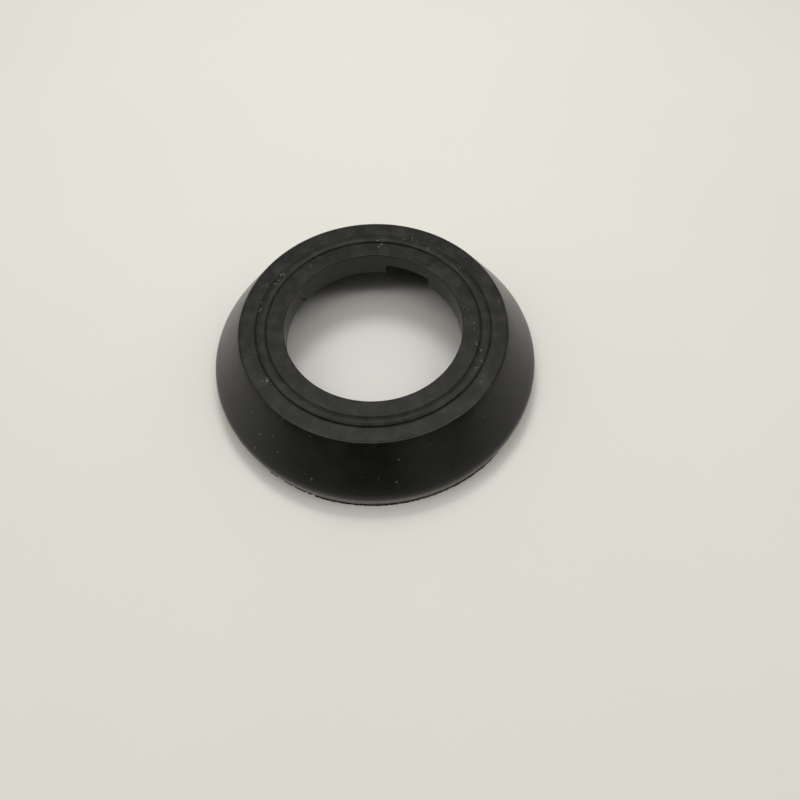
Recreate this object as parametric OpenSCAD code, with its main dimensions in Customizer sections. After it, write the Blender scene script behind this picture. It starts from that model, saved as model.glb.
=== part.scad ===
// Tapered sealing ring, moulded in one piece of rubber. It stands on its wide foot with the flat
// face up. A low bead stands proud of the face between two shallow grooves, and the underside is
// hollow: a conical skirt hangs from a plate, and a short lip with one notch hangs round the bore.

/* [Cone] */
// Height of the ring, from the foot to the flat face
ring_h = 12.5; // [11:0.1:16]
// Diameter of the flat face, before its edge is rounded
face_d = 46.5; // [44:0.1:50]
// Diameter of the rim, the widest place, before it is rounded
rim_d = 58.3; // [54:0.1:64]
// Height of the rim above the foot
rim_h = 3.5; // [2:0.1:5]
// How far the foot stands in from the rim
foot_in = 0.75; // [0.1:0.05:1.5]

/* [Bore] */
// Diameter of the bore
bore_d = 31; // [28:0.1:33]
// Depth of the lip round the bore, from the flat face
lip_depth = 5; // [4.5:0.1:8]
// Thickness of the lip
lip_t = 2.2; // [1.2:0.1:3]

/* [Notch] */
// Height of the lip that is left between the notch and the plate
notch_web = 0.25; // [0.1:0.05:1]
// Angle that the notch takes out of the lip
notch_span = 32; // [10:1:60]
// Direction of the middle of the notch, counted from +X
notch_turn = 62.7; // [0:0.1:359]

/* [Bead] */
// Diameter of the middle of the bead
bead_d = 38.9; // [37.5:0.1:40]
// Width of the bead's flat crown
crown_w = 1.4; // [0.8:0.1:1.8]
// Height of the crown above the flat face
bead_rise = 0.2; // [0.05:0.05:0.3]
// Width of each of the bead's two flanks, measured level
flank_w = 0.3; // [0.2:0.05:0.5]
// Depth of the groove along the foot of each flank
groove_depth = 0.2; // [0.05:0.05:0.3]
// Width of each groove's far wall, measured level
wall_w = 0.05; // [0.05:0.05:0.3]

/* [Hollow underside] */
// Thickness of the plate under the flat face
plate_t = 2.6; // [2:0.1:4]
// Thickness of the skirt, measured level
skirt_t = 3.2; // [2:0.1:4]

/* [Rounding] */
// Radius round the rim
rim_round = 2.2; // [0.5:0.1:3]
// Radius between the flat face and the cone
face_round = 0.6; // [0.2:0.1:1.5]
// Radius between the flat face and the bore
bore_round = 0.3; // [0.2:0.1:1.2]
// Radius along the bead's crown
crown_round = 0.2; // [0.05:0.05:0.3]
// Radius of the grooves' outer edges
groove_round = 0.05; // [0.02:0.01:0.1]
// Radius of the foot's edges and of the lip's lower edges
edge_round = 0.3; // [0.1:0.05:0.6]
// Radius in the inner corners of the hollow
hollow_round = 0.8; // [0.3:0.1:1.5]

/* [Hidden] */
$fn = 180;
// Straight steps in the arc of each rounded corner
arc_steps = 8;
// Most of a side that the rounding of one corner may take up
round_share = 0.45;
// How far the notch's cutter reaches into the open bore and below the lip
cut_over = 1;

face_r = face_d / 2;
rim_r = rim_d / 2;
foot_r = rim_r - foot_in;
bore_r = bore_d / 2;
lip_r = bore_r + lip_t;
lip_z = ring_h - lip_depth;
plate_z = ring_h - plate_t;
lip_drop = plate_z - lip_z;
bead_mid_r = bead_d / 2;
crown_half = crown_w / 2;
foot_half = crown_half + flank_w;
groove_half = foot_half + wall_w;
crown_z = ring_h + bead_rise;
groove_z = ring_h - groove_depth;
// Radius that the cone gains for each millimetre it comes down
taper = (rim_r - face_r) / (ring_h - rim_h);
// The skirt's inner wall follows the cone down to the rim, then drops straight to the foot
hollow_r = rim_r - skirt_t;
hollow_top_r = hollow_r - taper * (plate_z - rim_h);

function unit(v) = v / norm(v);

function on_circle(centre, r, angle) = centre + r * [cos(angle), sin(angle)];

// Arc of radius r that rounds the corner at b, between its neighbours a and c
function rounded(a, b, c, r) =
    let (
        to_a = unit(a - b),
        to_c = unit(c - b),
        half = acos(to_a * to_c) / 2,
        reach = min(r / tan(half), round_share * min(norm(a - b), norm(c - b))),
        centre = b + unit(to_a + to_c) * reach / cos(half),
        start = b + to_a * reach - centre,
        end = b + to_c * reach - centre,
        from = atan2(start.y, start.x),
        turn = atan2(cross(start, end), start * end)
    )
    [for (i = [0:arc_steps]) on_circle(centre, norm(start), from + turn * i / arc_steps)];

// Corners of the section as [[radius, height], rounding], up the cone, over the face and back inside
corners = [
    [[foot_r, 0], edge_round],
    [[rim_r, rim_h], rim_round],
    [[face_r, ring_h], face_round],
    [[bead_mid_r + groove_half, ring_h], groove_round],
    [[bead_mid_r + foot_half, groove_z], 0],
    [[bead_mid_r + crown_half, crown_z], crown_round],
    [[bead_mid_r - crown_half, crown_z], crown_round],
    [[bead_mid_r - foot_half, groove_z], 0],
    [[bead_mid_r - groove_half, ring_h], groove_round],
    [[bore_r, ring_h], bore_round],
    [[bore_r, lip_z], edge_round],
    [[lip_r, lip_z], edge_round],
    [[lip_r, plate_z], hollow_round],
    [[hollow_top_r, plate_z], hollow_round],
    [[hollow_r, rim_h], hollow_round],
    [[hollow_r, 0], edge_round],
];

module section() {
    last = len(corners) - 1;
    outline = [
        for (i = [0:last])
            let (
                before = corners[i == 0 ? last : i - 1][0],
                here = corners[i][0],
                after = corners[i == last ? 0 : i + 1][0],
                r = corners[i][1]
            )
            each (r > 0 ? rounded(before, here, after, r) : [here])
    ];
    polygon(outline);
}

module lip_notch() {
    rotate(notch_turn - notch_span / 2)
        rotate_extrude(angle = notch_span)
            translate([bore_r - cut_over, lip_z - cut_over])
                square([cut_over + lip_t + hollow_round, cut_over + lip_drop - notch_web]);
}

module sealing_ring() {
    color([0.17, 0.17, 0.16])
        difference() {
            rotate_extrude() section();
            lip_notch();
        }
}

sealing_ring();
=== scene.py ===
import bpy
import numpy as np
from mathutils import Matrix, Vector


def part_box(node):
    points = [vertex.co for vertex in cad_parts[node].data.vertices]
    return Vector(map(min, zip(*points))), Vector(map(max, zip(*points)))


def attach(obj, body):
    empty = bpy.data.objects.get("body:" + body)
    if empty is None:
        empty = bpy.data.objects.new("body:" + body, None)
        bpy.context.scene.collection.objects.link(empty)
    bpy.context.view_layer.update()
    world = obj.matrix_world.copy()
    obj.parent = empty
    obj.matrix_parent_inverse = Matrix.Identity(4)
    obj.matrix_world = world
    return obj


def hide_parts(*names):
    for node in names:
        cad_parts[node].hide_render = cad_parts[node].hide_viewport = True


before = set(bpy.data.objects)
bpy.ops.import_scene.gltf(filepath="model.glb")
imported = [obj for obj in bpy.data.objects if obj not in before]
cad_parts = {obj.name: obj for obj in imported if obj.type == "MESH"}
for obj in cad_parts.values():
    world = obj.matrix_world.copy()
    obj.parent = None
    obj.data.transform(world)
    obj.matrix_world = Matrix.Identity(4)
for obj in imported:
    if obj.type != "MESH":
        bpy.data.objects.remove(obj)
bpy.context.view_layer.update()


# The sealing ring is one moulding of black rubber. It is pressed in a steel mould whose turned
# core leaves the cone, the beaded face, the hollow underside and the notched lip in one shot,
# so it has no joints, and its skin is satin with faint rings where the steel was turned.
MM = 0.001
# The face lies below the top of its CAD box by the room that the bead and the grit on it take up
bead_and_grit = 0.27
face_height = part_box("sealing_ring")[1][2] / MM - bead_and_grit
face_radius, rim_radius, rim_height, foot_radius = 23.25, 29.15, 3.5, 28.4
bore_radius, lip_radius, lip_height, plate_height = 15.5, 17.7, 7.5, 9.9
bead_middle, bead_rise, crown_half, crown_sag = 19.45, 0.21, 0.70, 0.09
crown_arch, crown_peak = 2.67, 0.305
inner_flank, outer_flank, dish_inner, dish_drop = 0.21, 0.23, 17.3, 0.03
groove_depth, groove_width, groove_floor, floor_rise = 0.11, 0.15, 0.07, 0.01
outer_groove = bead_middle + crown_half + outer_flank
inner_groove = bead_middle - crown_half - inner_flank
groove_height, crown_edge = face_height - groove_depth, face_height + bead_rise - crown_sag
hollow_radius, hollow_top_radius = 25.95, 21.81
notch_start, notch_end, notch_web, notch_wall = 46.7, 78.7, 0.25, 0.2

# Corners of the section up the cone, over the face and back inside: radius, height, rounding
ring_corners = MM * np.array([
    (foot_radius, 0, 0.3),
    (rim_radius, rim_height, 2.2),
    (face_radius, face_height, 0.6),
    (outer_groove + groove_width, face_height, 0.12),
    (outer_groove + groove_floor, groove_height + floor_rise, 0.03),
    (outer_groove, groove_height, 0.02),
    (bead_middle + crown_half, crown_edge, 0.03),
    (bead_middle, face_height + crown_peak, crown_arch),
    (bead_middle - crown_half, crown_edge, 0.03),
    (inner_groove, groove_height, 0.02),
    (inner_groove - groove_floor, groove_height + floor_rise, 0.03),
    (inner_groove - groove_width, face_height - dish_drop, 0.10),
    (dish_inner, face_height, 1.0),
    (bore_radius, face_height, 0.12),
    (bore_radius, lip_height, 0.3),
    (lip_radius, lip_height, 0.3),
    (lip_radius, plate_height, 0.8),
    (hollow_top_radius, plate_height, 0.8),
    (hollow_radius, rim_height, 0.8),
    (hollow_radius, 0, 0.3),
])


def rounded_outline(corners, arc_steps, side_points):
    """Closed outline of a section with rounded corners, as rows of radius and height.

    A corner between two sides is cut by an arc that touches both at a reach of rounding divided by
    the tangent of half the corner's angle. The arc's centre lies on the halving line, the reach
    divided by the cosine of that half angle away, and its points turn evenly from side to side.
    On the straight stretch to the next arc the points stand at (1 - cos(pi u)) / 2 of its length.
    """
    here, rounding = corners[:, :2], corners[:, 2]
    to_last, to_next = np.roll(here, 1, 0) - here, np.roll(here, -1, 0) - here
    to_last /= np.linalg.norm(to_last, axis=1, keepdims=True)
    to_next /= np.linalg.norm(to_next, axis=1, keepdims=True)
    half = np.arccos((to_last * to_next).sum(1)) / 2
    reach = (rounding / np.tan(half))[:, None]
    middle = to_last + to_next
    middle /= np.linalg.norm(middle, axis=1, keepdims=True)
    centre = here + middle * reach / np.cos(half)[:, None]
    start, end = here + to_last * reach - centre, here + to_next * reach - centre
    first = np.arctan2(start[:, 1], start[:, 0])
    sweep = np.arctan2(start[:, 0] * end[:, 1] - start[:, 1] * end[:, 0], (start * end).sum(1))
    turn = first[:, None] + sweep[:, None] * np.linspace(0, 1, arc_steps + 1)
    arc = centre[:, None] + rounding[:, None, None] * np.stack([np.cos(turn), np.sin(turn)], -1)
    along = (1 - np.cos(np.pi * np.arange(1, side_points + 1) / (side_points + 1))) / 2
    side = arc[:, -1:] + (np.roll(arc[:, :1], -1, 0) - arc[:, -1:]) * along[None, :, None]
    return np.concatenate([arc, side], 1).reshape(-1, 2)


def turned_grid(outline, turns):
    """Outline carried round the bore's axis: x is radius times the cosine of the turn, y is radius
    times its sine, z is height. The first index follows the turn, the second the outline."""
    radius, height = outline[..., 0], outline[..., 1]
    turns = turns[:, None]
    return np.stack([radius * np.cos(turns), radius * np.sin(turns), height + 0 * turns], -1)


def mesh_piece(name, points, faces, smooth=False):
    """Piece from its points and faces, shaded smooth or flat."""
    mesh = bpy.data.meshes.new(name)
    mesh.from_pydata(points, [], faces)
    if smooth:
        mesh.shade_smooth()
    piece = bpy.data.objects.new(name, mesh)
    bpy.context.collection.objects.link(piece)
    return piece


def closed_mesh(name, grid):
    """Piece from a grid of points that closes on itself both ways. Each face joins a point, the
    next one round the axis, that one's next along the outline, and the point's own next."""
    number = np.arange(grid.shape[0] * grid.shape[1]).reshape(grid.shape[:2])
    ahead = np.roll(number, -1, 0)
    faces = np.stack([number, ahead, np.roll(ahead, -1, 1), np.roll(number, -1, 1)], -1)
    return mesh_piece(name, grid.reshape(-1, 3), faces.reshape(-1, 4), smooth=True)


def smooth_step(low, high, value):
    """Rises from 0 at low to 1 at high along 3 t squared minus 2 t cubed."""
    share = np.clip((value - low) / (high - low), 0, 1)
    return share * share * (3 - 2 * share)


ring_outline = rounded_outline(ring_corners, arc_steps=5, side_points=3)
# Turns in degrees, even all round and close together at the notch's ends
near_notch_end = np.linspace(-0.5, 0.5, 21)
ring_turns = np.unique(np.round(np.concatenate([
    np.arange(0, 360, 0.75), notch_start + near_notch_end, notch_end + near_notch_end]), 3))
# The notch draws the lip up to a thin web under the plate, between two steep end walls. The
# lip's root is its rounding into the plate, which is drawn up with it.
notched = (smooth_step(notch_start - notch_wall, notch_start + notch_wall, ring_turns)
           * smooth_step(notch_end + notch_wall, notch_end - notch_wall, ring_turns))[:, None]
lip_root = 0.85
in_lip = ((ring_outline[:, 0] < MM * (lip_radius + lip_root))
          & (ring_outline[:, 1] < MM * plate_height))
drawn_up = MM * plate_height - (MM * plate_height - ring_outline[:, 1]) * (
    notch_web / (plate_height - lip_height))
ring_grid = turned_grid(ring_outline, np.radians(ring_turns))
ring_grid[..., 2] += notched * in_lip * (drawn_up - ring_outline[:, 1])
ring_moulding = closed_mesh("ring_moulding", ring_grid)


def place(tree, kind, sockets=(), **settings):
    """Adds a shader node and fills its sockets: another node's output is linked, a value is set."""
    node = tree.nodes.new(kind)
    for setting, value in settings.items():
        setattr(node, setting, value)
    for socket, value in dict(sockets).items():
        if isinstance(value, bpy.types.NodeSocket):
            tree.links.new(value, node.inputs[socket])
        else:
            node.inputs[socket].default_value = value
    return node


def blend(tree, share, first, second):
    """Mixes two colours by a share. At 0 the first one shows, and at 1 the second."""
    sockets = {0: share, 6: first, 7: second}
    return place(tree, "ShaderNodeMix", sockets, data_type="RGBA").outputs[2]


def ramp(tree, value, start, end, low=0.0, high=1.0, kind="LINEAR"):
    """Goes from low at start to high at end, straight or smoothly, and is level past both."""
    sockets = {"Value": value, "From Min": start, "From Max": end, "To Min": low, "To Max": high}
    return place(tree, "ShaderNodeMapRange", sockets, interpolation_type=kind).outputs[0]


def smooth_ramp(tree, value, start, end, low=0.0, high=1.0):
    """Ramp that starts and ends level, along 3 t squared minus 2 t cubed."""
    return ramp(tree, value, start, end, low, high, kind="SMOOTHSTEP")


def work_out(tree, operation, *values, **settings):
    """Result of one step of arithmetic on values or sockets."""
    node = place(tree, "ShaderNodeMath", dict(enumerate(values)), operation=operation, **settings)
    return node.outputs[0]


def noise(tree, where, scale, detail=2.0, roughness=0.5):
    """Noise of a given scale round a position. It gives back how strong it is there."""
    sockets = {"Vector": where, "Scale": scale, "Detail": detail, "Roughness": roughness}
    return place(tree, "ShaderNodeTexNoise", sockets).outputs["Fac"]


def start_group(name, inputs, outputs):
    """Starts a shader node group and gives back its tree, its inputs and its output sockets."""
    tree = bpy.data.node_groups.new(name, "ShaderNodeTree")
    for socket, kind in inputs.items():
        tree.interface.new_socket(name=socket, in_out="INPUT", socket_type=kind)
    for socket, kind in outputs.items():
        tree.interface.new_socket(name=socket, in_out="OUTPUT", socket_type=kind)
    return tree, tree.nodes.new("NodeGroupInput").outputs, tree.nodes.new("NodeGroupOutput").inputs


# Satin skin: blasted grain, the rings of the turned mould, and cloudy patches of bloom
satin_skin, given, put_out = start_group(
    "satin_skin", {"Position": "NodeSocketVector"},
    {"Height": "NodeSocketFloat", "Cloud": "NodeSocketFloat"})
apart = place(satin_skin, "ShaderNodeSeparateXYZ", {0: given["Position"]}).outputs
level = place(satin_skin, "ShaderNodeCombineXYZ", {"X": apart["X"], "Y": apart["Y"]}).outputs[0]
radius = place(satin_skin, "ShaderNodeVectorMath", {0: level}, operation="LENGTH")
rings_at = place(satin_skin, "ShaderNodeCombineXYZ",
                 {"X": radius.outputs["Value"], "Y": apart["Z"]}).outputs[0]
rings = noise(satin_skin, rings_at, 3500.0, detail=3.0, roughness=0.7)
grain = noise(satin_skin, given["Position"], 7000.0)
cloud = noise(satin_skin, given["Position"], 260.0, detail=5.0, roughness=0.62)
satin_skin.links.new(work_out(satin_skin, "MULTIPLY_ADD", rings, 0.5, grain), put_out["Height"])
satin_skin.links.new(cloud, put_out["Cloud"])

# Settled dust: a thin patchy film where the skin faces up, and scattered bright specks
settled_dust, given, put_out = start_group(
    "settled_dust",
    {"Position": "NodeSocketVector", "Normal": "NodeSocketVector",
     "Film": "NodeSocketFloat", "Specks": "NodeSocketFloat"},
    {"Dust": "NodeSocketFloat"})
facing = place(settled_dust, "ShaderNodeSeparateXYZ", {0: given["Normal"]}).outputs["Z"]
upward = ramp(settled_dust, facing, 0.45, 0.95)
patches = noise(settled_dust, given["Position"], 420.0, detail=4.0, roughness=0.55)
film = work_out(settled_dust, "MULTIPLY", ramp(settled_dust, patches, 0.42, 0.72), given["Film"])
cells = place(settled_dust, "ShaderNodeTexVoronoi",
              {"Vector": given["Position"], "Scale": 1300.0}).outputs
speck = ramp(settled_dust, cells["Distance"], 0.09, 0.04)
tone = place(settled_dust, "ShaderNodeSeparateColor", {0: cells["Color"]}).outputs[0]
kept = work_out(settled_dust, "MULTIPLY", speck, ramp(settled_dust, tone, 0.86, 0.98))
bright = work_out(settled_dust, "MULTIPLY_ADD", kept, given["Specks"], film)
dust = work_out(settled_dust, "MULTIPLY", bright, upward, use_clamp=True)
settled_dust.links.new(dust, put_out["Dust"])

# Hairlines: short fine scratches from handling, sparse, and lying a few ways
hairlines, given, put_out = start_group(
    "hairlines", {"Position": "NodeSocketVector"}, {"Mark": "NodeSocketFloat"})
marks = []
for tilt, seed in ((0.5, 0.0), (-0.9, 0.37), (2.0, 0.71)):
    laid = place(hairlines, "ShaderNodeMapping",
                 {"Vector": given["Position"], "Location": (seed, seed, 0),
                  "Rotation": (0.3, 0.2, tilt), "Scale": (330.0, 6500.0, 900.0)}).outputs[0]
    marks.append(ramp(hairlines, noise(hairlines, laid, 1.0, detail=1.0), 0.77, 0.84))
first_two = work_out(hairlines, "MAXIMUM", marks[0], marks[1])
hairlines.links.new(work_out(hairlines, "MAXIMUM", first_two, marks[2]), put_out["Mark"])


def black_rubber(name, dark, pale, film, specks, foot_reflection, roughness, relief):
    """Near-black rubber between two tones, with its dust, a painted reflection of the pale table as
    a lighter band near the foot, its range of roughness and its relief. The painted reflection is
    full up to 1.1 mm above the foot and gone at 3.2 mm."""
    dust_tone, foot_reflection_tone = (0.30, 0.29, 0.26, 1), (0.21, 0.195, 0.17, 1)
    scratch_tone, reflection_full, reflection_gone = (0.06, 0.06, 0.055, 1), 1.1, 3.2
    material = bpy.data.materials.new(name)
    material.use_nodes = True
    tree = material.node_tree
    skin = tree.nodes["Principled BSDF"]
    where = place(tree, "ShaderNodeTexCoord").outputs["Object"]
    facing = place(tree, "ShaderNodeNewGeometry").outputs["Normal"]
    satin = place(tree, "ShaderNodeGroup", {"Position": where}, node_tree=satin_skin)
    dusted = place(tree, "ShaderNodeGroup",
                   {"Position": where, "Normal": facing, "Film": film, "Specks": specks},
                   node_tree=settled_dust)
    scratched = place(tree, "ShaderNodeGroup", {"Position": where}, node_tree=hairlines)
    with_dust = blend(tree, dusted.outputs["Dust"],
                      blend(tree, satin.outputs["Cloud"], dark, pale), dust_tone)
    height = place(tree, "ShaderNodeSeparateXYZ", {0: where}).outputs["Z"]
    # Painted reflection: the rubber is drawn lighter and warmer near the foot, where the pale table
    # shows in it at a grazing angle.
    reflection_band = ramp(tree, height, reflection_gone * MM, reflection_full * MM, 0.0, foot_reflection)
    with_foot_reflection = blend(tree, reflection_band, with_dust, foot_reflection_tone)
    tree.links.new(blend(tree, scratched.outputs["Mark"], with_foot_reflection, scratch_tone),
                   skin.inputs["Base Color"])
    clouded = ramp(tree, satin.outputs["Cloud"], 0.3, 0.7, *roughness)
    rougher = work_out(tree, "MULTIPLY_ADD", dusted.outputs["Dust"], 0.5, clouded, use_clamp=True)
    tree.links.new(rougher, skin.inputs["Roughness"])
    bump = place(tree, "ShaderNodeBump",
                 {"Height": satin.outputs["Height"], "Strength": 1.0, "Distance": relief})
    tree.links.new(bump.outputs[0], skin.inputs["Normal"])
    skin.inputs["Specular IOR Level"].default_value = 0.33
    return material


# The lighter band at the foot of the moulding is a painted reflection of the pale table.
ring_moulding.data.materials.append(black_rubber(
    "moulded_rubber", dark=(0.0028, 0.0027, 0.0025, 1), pale=(0.0068, 0.0066, 0.006, 1),
    film=0.05, specks=0.6, foot_reflection=0.9, roughness=(0.25, 0.31), relief=0.0000015))
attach(ring_moulding, "root")
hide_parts("sealing_ring")


# Where the mould's halves met at the foot, a paper-thin skin of rubber flashed out. Its black edge
# along the front of the foot is also painted contact shadow, standing where the shade under the
# foot falls. It is torn off for most of the way round, and a ragged edge of it is left at the
# front.
flash_top, flash_root, flash_hidden, flash_reach = 0.08, 27.7, 28.0, 28.66
flash_turns = np.arange(0, 360, 0.25)
from_front = flash_turns - 270


def uneven(count, low, high, seed):
    """Random values between low and high at even steps all round, with straight lines between."""
    return np.interp(flash_turns, np.linspace(0, 360, count),
                     np.random.default_rng(seed).uniform(low, high, count))


ragged = uneven(481, 0.82, 1.0, seed=4)
# The edge is whole just about the front, where it draws the painted contact shadow, and thins out
# to the right, with shreds to the left
whole = smooth_step(-25, -24, from_front) * smooth_step(62, 36, from_front)
torn = smooth_step(0.4, 0.6, uneven(289, 0, 1, seed=9))
shred_reach = 0.85
shreds = shred_reach * (from_front > -43) * (from_front < 0) * torn
flash_radius = flash_hidden + (flash_reach - flash_hidden) * ragged * np.maximum(whole, shreds)
flash_inner = np.full(flash_turns.size, flash_root)
flash_outline = np.stack([
    np.stack([radii, np.full(flash_turns.size, height)], -1)
    for radii, height in ((flash_inner, 0.0), (flash_radius, 0.0),
                          (flash_radius, flash_top / 2), (flash_inner, flash_top))], 1)
# Thin black sheet at the foot: partly real flash, and partly painted contact shadow where it runs
# whole along the front.
flash_and_contact_shade = closed_mesh("flash_and_contact_shade", turned_grid(MM * flash_outline, np.radians(flash_turns)))
flash_and_contact_shade.data.materials.append(black_rubber(
    "torn_flash", dark=(0.003, 0.003, 0.003, 1), pale=(0.006, 0.006, 0.006, 1),
    film=0.0, specks=0.0, foot_reflection=0.0, roughness=(0.4, 0.5), relief=0.000004))
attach(flash_and_contact_shade, "root")


# Crumbs of pale dust lie on the face and cling to the cone. They are the grit of a workbench. A
# crumb's middle is sunk a little into the face, and its top stays under the CAD box's.
crumb_sink, crumb_room = 0.02, 0.055


def scattered_crumbs(name, centres, sizes, seed):
    """Crumbs as small octahedra in one mesh. Each corner stands at its centre plus one of six axis
    directions times the crumb's size and a random share between 0.6 and 1.3. A corner that would
    stand higher than 0.055 mm above the bead's crown is brought down to that height."""
    ends = np.concatenate([np.eye(3), -np.eye(3)])
    shares = np.random.default_rng(seed).uniform(0.6, 1.3, (len(centres), 6, 1))
    points = centres[:, None] + sizes[:, None, None] * ends * shares
    points[..., 2] = np.minimum(points[..., 2], MM * (face_height + bead_rise + crumb_room))
    faces = np.array([(0, 1, 2), (1, 3, 2), (3, 4, 2), (4, 0, 2),
                      (1, 0, 5), (3, 1, 5), (4, 3, 5), (0, 4, 5)])
    faces = faces + 6 * np.arange(len(centres))[:, None, None]
    return mesh_piece(name, points.reshape(-1, 3), faces.reshape(-1, 3))


def on_face(turns, radii):
    """Points just under the face: radius times the turn's cosine and sine, at the face's height
    less the crumbs' sink. On the bead the height is more by its rise, less its sag times the
    square of the share from its middle to its side."""
    turns, share = np.radians(turns), (radii - bead_middle) / crown_half
    heights = face_height - crumb_sink + (np.abs(share) < 1) * (bead_rise - crown_sag * share ** 2)
    return MM * np.stack([radii * np.cos(turns), radii * np.sin(turns), heights], -1)


def on_cone(turns, heights):
    """Points on the cone: the radius falls evenly from the rim's to the face's with the height."""
    turns = np.radians(turns)
    fall = (rim_radius - face_radius) / (face_height - rim_height)
    radii = rim_radius - fall * (heights - rim_height)
    return MM * np.stack([radii * np.cos(turns), radii * np.sin(turns), heights], -1)


# Turn from +X, distance from the axis and size of each spot of grit on the face, in millimetres
face_grit = np.array([
    (-150.5, 20.85, 0.19), (-17.6, 18.2, 0.10), (-27.1, 19.8, 0.12), (-34.4, 21.3, 0.11),
    (82.5, 18.1, 0.13), (84.1, 17.5, 0.10), (70.5, 20.0, 0.11), (63.1, 19.9, 0.10),
    (56.0, 19.5, 0.11), (166.8, 19.9, 0.15), (149.4, 19.5, 0.16), (141.8, 19.6, 0.16),
    (8.5, 16.2, 0.12), (6.2, 16.7, 0.10), (-3.7, 17.4, 0.11), (8.2, 22.5, 0.11),
    (84.6, 19.0, 0.13), (66.5, 20.8, 0.12), (51.2, 20.2, 0.12), (34.5, 19.8, 0.11),
    (-7.4, 17.5, 0.10), (-21.5, 19.2, 0.13), (-32.7, 19.5, 0.12), (146.7, 19.6, 0.12),
    (162.1, 20.3, 0.10), (-174.2, 19.9, 0.11), (-169.3, 19.5, 0.10), (-1.0, 15.9, 0.10)])
# Turn from +X, height above the foot and size of each spot of grit on the cone
cone_grit = np.array([
    (-118.7, 11.8, 0.08), (-145.7, 9.4, 0.07), (-138.8, 7.5, 0.08), (-133.3, 8.8, 0.06),
    (-138.8, 4.9, 0.08), (-129.3, 7.0, 0.07), (-83.9, 9.6, 0.07), (-91.8, 7.1, 0.06),
    (-85.8, 6.2, 0.07), (-115.1, 5.4, 0.08), (-46.4, 9.6, 0.07)])
spots = np.concatenate([on_face(*face_grit[:, :2].T), on_cone(*cone_grit[:, :2].T)])
spot_sizes = MM * np.concatenate([face_grit[:, 2], cone_grit[:, 2]])
# Each spot is a crumb with smaller ones strewn about it, and single crumbs lie in between
chance = np.random.default_rng(12)
strewn_each, stray_count = 7, 60
strewn_count = strewn_each * len(spots)
strewn = np.repeat(spots, strewn_each, 0) + np.repeat(spot_sizes, strewn_each)[:, None] * (
    np.concatenate([chance.normal(0, 2.4, (strewn_count, 2)), np.zeros((strewn_count, 1))], 1))
strays = on_face(chance.uniform(0, 360, stray_count), chance.uniform(15.9, 22.7, stray_count))
strewn_sizes = np.repeat(spot_sizes, strewn_each) * chance.uniform(0.35, 0.7, strewn_count)
stray_sizes = MM * chance.uniform(0.015, 0.035, stray_count)
crumbs = scattered_crumbs("dust_crumbs", np.concatenate([spots, strewn, strays]),
                          np.concatenate([spot_sizes, strewn_sizes, stray_sizes]), seed=8)


def drifting(name, scale, dark, pale, roughness, detail=2.0):
    """Matt material whose colour drifts between two tones with noise of a given scale."""
    material = bpy.data.materials.new(name)
    material.use_nodes = True
    tree = material.node_tree
    where = place(tree, "ShaderNodeTexCoord").outputs["Object"]
    skin = tree.nodes["Principled BSDF"]
    tree.links.new(blend(tree, noise(tree, where, scale, detail), dark, pale),
                   skin.inputs["Base Color"])
    skin.inputs["Roughness"].default_value = roughness
    return material


crumbs.data.materials.append(drifting(
    "pale_grit", 9000.0, dark=(0.16, 0.15, 0.14, 1), pale=(0.50, 0.48, 0.44, 1), roughness=0.85))
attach(crumbs, "root")

# Dark crumbs in the rubber's black sit low on the bore's wall, at the back on the left, where a
# small dark mark shows
mark_turns = np.radians([139.5, 141.0, 142.5, 144.0, 145.5])
mark_heights = np.array([7.9, 8.2, 8.55, 8.8, 9.2])
mark_sizes = np.array([0.12, 0.2, 0.3, 0.25, 0.15])
wall_mark = scattered_crumbs(
    "dark_wall_mark", MM * np.stack([bore_radius * np.cos(mark_turns),
                                   bore_radius * np.sin(mark_turns), mark_heights], -1),
    MM * mark_sizes, seed=3)
wall_mark.data.materials.append(flash_and_contact_shade.data.materials[0])
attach(wall_mark, "root")


# A few short fibres of lint have settled on the face. They are pale cloth fluff.
def fibres(name, starts, headings, lengths, bends, thickness):
    """Fibres as closed tubes in one mesh. Each runs level from its start along its heading, leans
    aside by its bend times the square of the share run, and is round, with a radius that falls to
    nothing at both ends as the square root of 4 t (1 - t)."""
    share = np.linspace(0, 1, 13)[None, :, None]
    along = np.stack([np.cos(headings), np.sin(headings), 0 * headings], -1)[:, None]
    aside = np.stack([-np.sin(headings), np.cos(headings), 0 * headings], -1)[:, None]
    middle = starts[:, None] + along * lengths[:, None, None] * share
    middle = middle + aside * bends[:, None, None] * share ** 2
    radius = thickness * np.sqrt(np.clip(4 * share * (1 - share), 0.01, None))[..., None]
    turn = np.radians(np.arange(0, 360, 60))[None, None, :, None]
    tube = middle[:, :, None] + radius * (
        aside[:, :, None] * np.cos(turn) + np.array([0, 0, 1]) * np.sin(turn))
    count, steps, sides = tube.shape[:3]
    number = np.arange(count * steps * sides).reshape(count, steps, sides)
    near, far = number[:, :-1], number[:, 1:]
    walls = np.stack([near, np.roll(near, -1, 2), np.roll(far, -1, 2), far], -1).reshape(-1, 4)
    ends = np.concatenate([number[:, 0, ::-1], number[:, -1]])
    return mesh_piece(name, tube.reshape(-1, 3), walls.tolist() + ends.tolist(), smooth=True)


lint_turns = np.array([128.1, 152.0, 96.0, 24.0, -38.0, -101.0])
lint_radii = np.array([17.1, 21.2, 21.6, 17.0, 21.4, 16.6])
lint_lift, lint_radius = 0.03 * MM, 0.02 * MM
lint = fibres("lint", on_face(lint_turns, lint_radii) + [0, 0, lint_lift],
              headings=np.radians([92.0, 40.0, 170.0, 75.0, 15.0, 140.0]),
              lengths=MM * np.array([1.1, 0.5, 0.4, 0.6, 0.5, 0.4]),
              bends=MM * np.array([0.15, 0.1, -0.1, 0.2, -0.1, 0.1]), thickness=lint_radius)
lint.data.materials.append(drifting(
    "pale_fluff", 5000.0, dark=(0.20, 0.19, 0.17, 1), pale=(0.40, 0.39, 0.36, 1), roughness=0.8))
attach(lint, "root")


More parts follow.
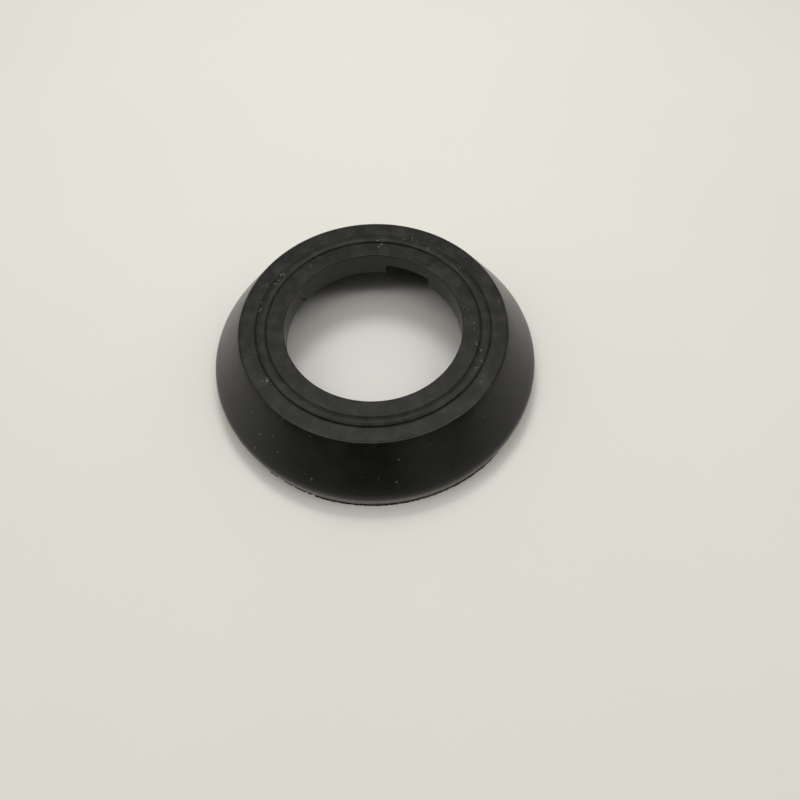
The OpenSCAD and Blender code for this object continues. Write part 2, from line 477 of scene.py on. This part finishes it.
# The table is a plain pale board that is a little warm, with barely seen blotches. It ends just in
# front of the ring, where whoever holds the camera stands.
table_reach, table_front = 2.0, -0.13
table = mesh_piece(
    "table", [(-table_reach, table_front, 0), (table_reach, table_front, 0),
              (table_reach, table_reach, 0), (-table_reach, table_reach, 0)], [(0, 1, 2, 3)])
board = drifting("pale_board", 22.0, dark=(0.682, 0.671, 0.637, 1), pale=(0.714, 0.701, 0.666, 1),
                 roughness=0.6, detail=4.0)
board.node_tree.nodes["Principled BSDF"].inputs["Specular IOR Level"].default_value = 0.1
table.data.materials.append(board)


# The pale room is brighter overhead than at the walls, but for a dim patch straight up. The walls
# are a little brighter low down on the left. Whoever holds the camera darkens the front, where
# only the gaps beside the holder, the floor and the top of the wall give light.
room = bpy.data.worlds.new("room")
room.use_nodes = True
bpy.context.scene.world = room
tree = room.node_tree
looking = place(tree, "ShaderNodeTexCoord").outputs["Generated"]
to_right, to_back, rise = place(tree, "ShaderNodeSeparateXYZ", {0: looking}).outputs
ceiling = work_out(tree, "MULTIPLY", smooth_ramp(tree, rise, 0.74, 0.90, 0.5, 1.72),
                   smooth_ramp(tree, rise, 0.92, 0.96, 1.0, 0.17))
low_walls = smooth_ramp(tree, rise, 0.25, 0.55, ramp(tree, to_right, -0.5, 0.3, 0.63, 0.5))
front_floor = smooth_ramp(tree, rise, 0.1, 0.3, 0.9, 0.4)
front_walls = work_out(tree, "MAXIMUM", front_floor, smooth_ramp(tree, rise, 0.42, 0.6))
# The bearing is counted from straight at the camera's holder, which is half way along the ramp
bearing = work_out(tree, "ARCTAN2", to_right, work_out(tree, "MULTIPLY", to_back, -1.0))
silhouette = place(tree, "ShaderNodeValToRGB", {0: ramp(tree, bearing, -np.pi, np.pi)})
stops = silhouette.color_ramp.elements
holder_left, holder_right = -90, 85
stops[0].position, stops[1].position = 0.5 + holder_left / 360, 0.5 + holder_right / 360
for stop in stops:
    stop.color = (1, 1, 1, 1)
# Bearing in degrees from straight at the holder, and the share of light that gets past there
for degrees, level in (
        (-72, 0.07), (-56, 0.05), (-42, 0.19), (-29, 0.42), (-16, 0.0), (4, 0.0), (15, 0.62),
        (30, 0.9), (42, 0.32), (60, 0.19)):
    stop = stops.new(0.5 + degrees / 360)
    stop.color = (level, level, level, 1)
above_holder = smooth_ramp(tree, to_back, -0.42, -0.36)
beside_holder = work_out(tree, "MULTIPLY", silhouette.outputs[0], front_walls)
clear_of_holder = work_out(tree, "MULTIPLY", above_holder, low_walls)
kept_light = work_out(tree, "MAXIMUM", beside_holder, clear_of_holder)
strength = work_out(tree, "MULTIPLY", ceiling, kept_light)
# The camera itself sees an even, paler room behind the table
seen = place(tree, "ShaderNodeLightPath").outputs["Is Camera Ray"]
shown = place(tree, "ShaderNodeMix", {0: seen, 2: strength, 3: 1.0})
colour = blend(tree, seen, (1.0, 0.98, 0.93, 1), (0.775, 0.76, 0.70, 1))
air = tree.nodes["Background"]
tree.links.new(colour, air.inputs["Color"])
tree.links.new(shown.outputs[0], air.inputs["Strength"])


# A long strip lamp hangs overhead, and a small round one stands low behind the ring and lights
# the table inside the bore.
def flat_lamp(name, shape, size, stands, aim, power, glossy):
    """Flat lamp of a shape and size at a place, facing the point it is aimed at. It shows in
    gloss or gives light alone."""
    data = bpy.data.lights.new(name, "AREA")
    data.shape = shape
    data.size, data.size_y = size
    data.energy = power
    data.color = (1.0, 0.995, 0.985)
    stands = Vector(stands)
    lamp = bpy.data.objects.new(name, data)
    lamp.visible_glossy = glossy
    lamp.matrix_world = (Matrix.Translation(stands)
                         @ (stands - Vector(aim)).to_track_quat("Z", "Y").to_matrix().to_4x4())
    bpy.context.collection.objects.link(lamp)


flat_lamp("strip_lamp", "RECTANGLE", size=(3.72, 0.24), stands=(0, -0.26, 1.3),
          aim=(0, -0.26, 0), power=8.9, glossy=True)
flat_lamp("back_lamp", "DISK", size=(0.09, 0.09), stands=(0, 0.129, 0.2485),
          aim=(0, 0, 0), power=0.235, glossy=False)


# The camera looks down on the ring from the front, as the photograph does.
camera_data = bpy.data.cameras.new("camera")
camera_data.sensor_width = 36
camera_data.lens = 36.045
camera_data.clip_start = 0.01
camera = bpy.data.objects.new("camera", camera_data)
bpy.context.collection.objects.link(camera)
stands = MM * np.array([0, -82.419, 124.605])
looks_at = MM * np.array([3.937, -8.208, 0])
camera_roll = np.radians(-1.145)
ahead = (looks_at - stands) / np.linalg.norm(looks_at - stands)
across = np.cross(ahead, (0, 0, 1))
across /= np.linalg.norm(across)
axes = np.eye(4)
axes[:3, :4] = np.stack([across, np.cross(across, ahead), -ahead, stands], 1)
camera.matrix_world = Matrix(axes.tolist()) @ Matrix.Rotation(camera_roll, 4, "Z")
bpy.context.scene.camera = camera

bpy.context.scene.view_settings.view_transform = "Standard"
